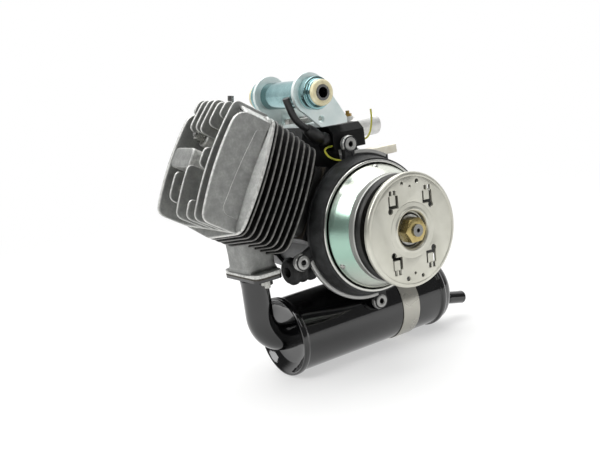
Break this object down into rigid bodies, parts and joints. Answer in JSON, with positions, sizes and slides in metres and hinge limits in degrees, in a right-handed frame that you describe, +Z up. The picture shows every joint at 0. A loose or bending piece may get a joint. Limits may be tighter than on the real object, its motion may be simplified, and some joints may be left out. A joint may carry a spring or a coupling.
{
  "type": "small gasoline engine",
  "caption": "Air-cooled single-cylinder two-stroke engine with finned inclined cylinder, centrifugal clutch and belt pulley, swinging pivot tube and slung silencer.",
  "frame": {"origin": "centre of the pivot sleeve's bore, midway along the sleeve", "axes": "+X along the pivot and the crankshaft, towards the belt pulley; +Z up; +Y from the cylinder towards the intake stub and the silencer's outlet"},
  "size_m": [0.214, 0.3323, 0.3],
  "materials": {
    "case_dark": "dark satin cast",
    "rim_silver": "bright machined",
    "paper": "gasket paper",
    "screw_steel": "zinc plated",
    "bearing_steel": "ground",
    "seal_rubber": "matt",
    "cylinder_black": "black heat paint, worn bright on the fin edges",
    "head_alloy": "sand cast",
    "stud_steel": "plain",
    "plug_steel": "nickel plated",
    "ceramic": "glazed",
    "piston_alloy": "turned",
    "ring_iron": "ground",
    "rod_steel": "forged",
    "crank_steel": "turned",
    "nut_yellow": "yellow zinc",
    "hub_steel": "plain",
    "lining": "sintered",
    "drum_steel": "turned",
    "bronze": "sintered",
    "dish_zinc": "zinc plated, faint green",
    "disc_steel": "satin zinc",
    "winding": "varnished",
    "flywheel_steel": "turned",
    "cover_black": "moulded",
    "intake_alloy": "cast",
    "screw_brass": "turned",
    "reed_plastic": "moulded",
    "exhaust_black": "gloss black",
    "strap_steel": "polished stainless",
    "baffle_steel": "plain",
    "bracket_zinc": "blue zinc",
    "bush_cream": "nylon",
    "coil_black": "moulded resin",
    "boot_rubber": "satin",
    "lead_black": "satin",
    "wire_yellow": "extruded",
    "wire_green": "extruded",
    "connector_cream": "moulded",
    "buffer_rubber": "matt"
  },
  "bodies": {
    "engine": {"crankcase_left": "case_dark", "crankcase_right": "case_dark", "body_screws": "screw_steel", "rim_ring": "rim_silver", "main_bearings": "bearing_steel", "shaft_seals": "seal_rubber", "cylinder": "cylinder_black", "cylinder_fins": "cylinder_black", "gaskets": "paper", "cylinder_head": "head_alloy", "head_studs": "stud_steel", "head_nuts": "screw_steel", "spark_plug": "plug_steel", "plug_insulator": "ceramic", "stator": "winding", "magneto_cover": "cover_black", "intake_manifold": "intake_alloy", "bleed_screw": "screw_brass", "reed_block": "reed_plastic", "exhaust_flange": "exhaust_black", "exhaust_nuts": "screw_steel", "exhaust_pipe": "exhaust_black", "silencer_shell": "exhaust_black", "silencer_front_cap": "exhaust_black", "silencer_rear_cap": "exhaust_black", "silencer_baffles": "baffle_steel", "tailpipe": "exhaust_black", "silencer_strap": "strap_steel", "silencer_bracket": "case_dark", "pivot_bracket": "bracket_zinc", "bracket_bolts": "screw_steel", "pivot_tube": "bracket_zinc", "pivot_bushes": "bush_cream", "ignition_coil": "coil_black", "coil_boot": "boot_rubber", "ht_lead": "lead_black", "stop_wire": "wire_yellow", "earth_wire": "wire_green", "connector": "connector_cream", "connector_leads": "lead_black", "rubber_buffer": "buffer_rubber"},
    "crankshaft": {"crank_left": "crank_steel", "crank_right": "crank_steel", "crank_fittings": "screw_steel", "crank_nut": "nut_yellow", "clutch_hub": "hub_steel", "flywheel": "flywheel_steel"},
    "shoe_1": {"clutch_shoe_1": "lining"},
    "shoe_2": {"clutch_shoe_2": "lining"},
    "pulley": {"clutch_drum": "drum_steel", "pulley_bush": "bronze", "rear_dish": "dish_zinc"},
    "sheave": {"sheave_disc": "disc_steel"},
    "piston_group": {"piston": "piston_alloy", "piston_rings": "ring_iron", "gudgeon_pin": "bearing_steel", "connecting_rod": "rod_steel", "needle_cages": "bronze", "crank_pin": "bearing_steel"},
    "sleeve": {"pivot_sleeve": "stud_steel"}
  },
  "joints": [
    {"name": "crank_spin", "type": "hinge", "parent": "engine", "child": "crankshaft", "pos_m": [-0.004, 0.042, -0.138], "axis": [1, 0, 0], "continuous": true},
    {"name": "pulley_spin", "type": "hinge", "parent": "crankshaft", "child": "pulley", "pos_m": [-0.004, 0.042, -0.138], "axis": [1, 0, 0], "continuous": true},
    {"name": "sheave_slide", "type": "slide", "parent": "pulley", "child": "sheave", "axis": [-1, 0, 0], "range_m": [0, 0.0035]},
    {"name": "shoe_1_swing", "type": "hinge", "parent": "crankshaft", "child": "shoe_1", "pos_m": [0.08945, 0.078, -0.138], "axis": [-1, 0, 0], "range_deg": [0, 2], "stiffness_Nm_per_rad": 5, "springref_deg": -2.86},
    {"name": "shoe_2_swing", "type": "hinge", "parent": "crankshaft", "child": "shoe_2", "pos_m": [0.08945, 0.006, -0.138], "axis": [-1, 0, 0], "range_deg": [0, 2], "stiffness_Nm_per_rad": 5, "springref_deg": -2.86},
    {"name": "piston_stroke", "type": "slide", "parent": "engine", "child": "piston_group", "axis": [0, 0.8526, -0.5225], "range_m": [0, 0.0418]},
    {"name": "pivot_turn", "type": "hinge", "parent": "engine", "child": "sleeve", "pos_m": [0, 0, 0], "axis": [1, 0, 0], "continuous": true}
  ]
}
